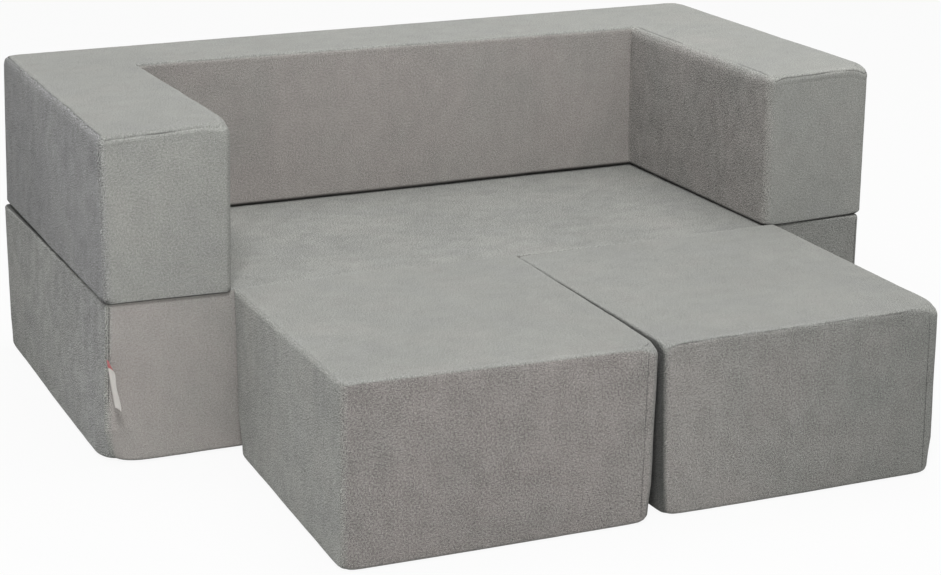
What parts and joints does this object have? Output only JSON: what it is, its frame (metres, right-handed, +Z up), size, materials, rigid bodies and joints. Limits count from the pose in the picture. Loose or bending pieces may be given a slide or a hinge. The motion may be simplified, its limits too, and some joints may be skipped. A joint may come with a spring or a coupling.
{
  "type": "modular foam play sofa",
  "caption": "Low foam sofa with a base block, a U-shaped back and arms that folds behind it on a fabric hinge, and loose ottomans that fill the U to make a bed.",
  "frame": {"origin": "middle of the base block's underside, on the floor", "axes": "+X to the right of somebody who looks at the front, +Y to the back, +Z up"},
  "size_m": [1.426, 1.234, 0.5594],
  "materials": {
    "plush": "short-pile grey plush, matt with a faint sheen at grazing angles",
    "foam": "open-cell polyurethane foam, matt",
    "zip_tape": "woven polyester tape",
    "zip_coil": "nylon coil",
    "zip_metal": "satin grey die-cast zinc",
    "label_cloth": "bare satin ribbon"
  },
  "bodies": {
    "base": {"base_foam": "foam", "base_seat_panel": "plush", "base_front_panel": "plush", "base_side_band": "plush", "base_underside_panel": "plush", "base_zip_upper_tape": "zip_tape", "base_zip_lower_tape": "zip_tape", "base_zip_chain": "zip_coil", "base_label": "label_cloth", "hinge_flap_lower": "plush"},
    "back_unit": {"back_foam": "foam", "left_arm_foam": "foam", "right_arm_foam": "foam", "back_unit_top_panel": "plush", "back_unit_inner_band": "plush", "back_unit_outer_band": "plush", "back_unit_underside_panel": "plush", "back_unit_zip_upper_tape": "zip_tape", "back_unit_zip_lower_tape": "zip_tape", "back_unit_zip_chain": "zip_coil", "hinge_flap_upper": "plush"},
    "left_ottoman": {"left_ottoman_foam": "foam", "left_ottoman_top_panel": "plush", "left_ottoman_side_band": "plush", "left_ottoman_underside_panel": "plush", "left_ottoman_zip_upper_tape": "zip_tape", "left_ottoman_zip_lower_tape": "zip_tape", "left_ottoman_zip_chain": "zip_coil"},
    "right_ottoman": {"right_ottoman_foam": "foam", "right_ottoman_top_panel": "plush", "right_ottoman_side_band": "plush", "right_ottoman_underside_panel": "plush", "right_ottoman_zip_upper_tape": "zip_tape", "right_ottoman_zip_lower_tape": "zip_tape", "right_ottoman_zip_chain": "zip_coil"},
    "base_zip_slider": {"base_zip_slider": "zip_metal"},
    "base_zip_pull": {"base_zip_pull": "zip_metal"},
    "back_unit_zip_slider": {"back_unit_zip_slider": "zip_metal"},
    "back_unit_zip_pull": {"back_unit_zip_pull": "zip_metal"},
    "left_ottoman_zip_slider": {"left_ottoman_zip_slider": "zip_metal"},
    "left_ottoman_zip_pull": {"left_ottoman_zip_pull": "zip_metal"},
    "right_ottoman_zip_slider": {"right_ottoman_zip_slider": "zip_metal"},
    "right_ottoman_zip_pull": {"right_ottoman_zip_pull": "zip_metal"}
  },
  "joints": [
    {"name": "back_fold", "type": "hinge", "parent": "base", "child": "back_unit", "pos_m": [0, 0.3585, 0.2802], "axis": [-1, 0, 0], "range_deg": [0, 180]},
    {"name": "left_ottoman_slide", "type": "slide", "parent": "base", "child": "left_ottoman", "axis": [0, -1, 0], "range_m": [0, 0.6]},
    {"name": "right_ottoman_slide", "type": "slide", "parent": "base", "child": "right_ottoman", "axis": [0, -1, 0], "range_m": [0, 0.6]},
    {"name": "base_zip_run", "type": "slide", "parent": "base", "child": "base_zip_slider", "axis": [-1, 0, 0], "range_m": [0, 1.2624]},
    {"name": "base_pull_flip", "type": "hinge", "parent": "base_zip_slider", "child": "base_zip_pull", "pos_m": [0.6312, 0.3565, 0.052], "axis": [0, 0, -1], "range_deg": [0, 180]},
    {"name": "back_unit_zip_run", "type": "slide", "parent": "back_unit", "child": "back_unit_zip_slider", "axis": [-1, 0, 0], "range_m": [0, 1.2624]},
    {"name": "back_unit_pull_flip", "type": "hinge", "parent": "back_unit_zip_slider", "child": "back_unit_zip_pull", "pos_m": [0.6312, 0.3565, 0.3564], "axis": [0, 0, -1], "range_deg": [0, 180]},
    {"name": "left_ottoman_zip_run", "type": "slide", "parent": "left_ottoman", "child": "left_ottoman_zip_slider", "axis": [-1, 0, 0], "range_m": [0, 0.3404]},
    {"name": "left_ottoman_pull_flip", "type": "hinge", "parent": "left_ottoman_zip_slider", "child": "left_ottoman_zip_pull", "pos_m": [-0.0748, -0.3605, 0.052], "axis": [0, 0, -1], "range_deg": [0, 12]},
    {"name": "right_ottoman_zip_run", "type": "slide", "parent": "right_ottoman", "child": "right_ottoman_zip_slider", "axis": [-1, 0, 0], "range_m": [0, 0.3404]},
    {"name": "right_ottoman_pull_flip", "type": "hinge", "parent": "right_ottoman_zip_slider", "child": "right_ottoman_zip_pull", "pos_m": [0.4412, -0.3605, 0.052], "axis": [0, 0, -1], "range_deg": [0, 12]}
  ]
}
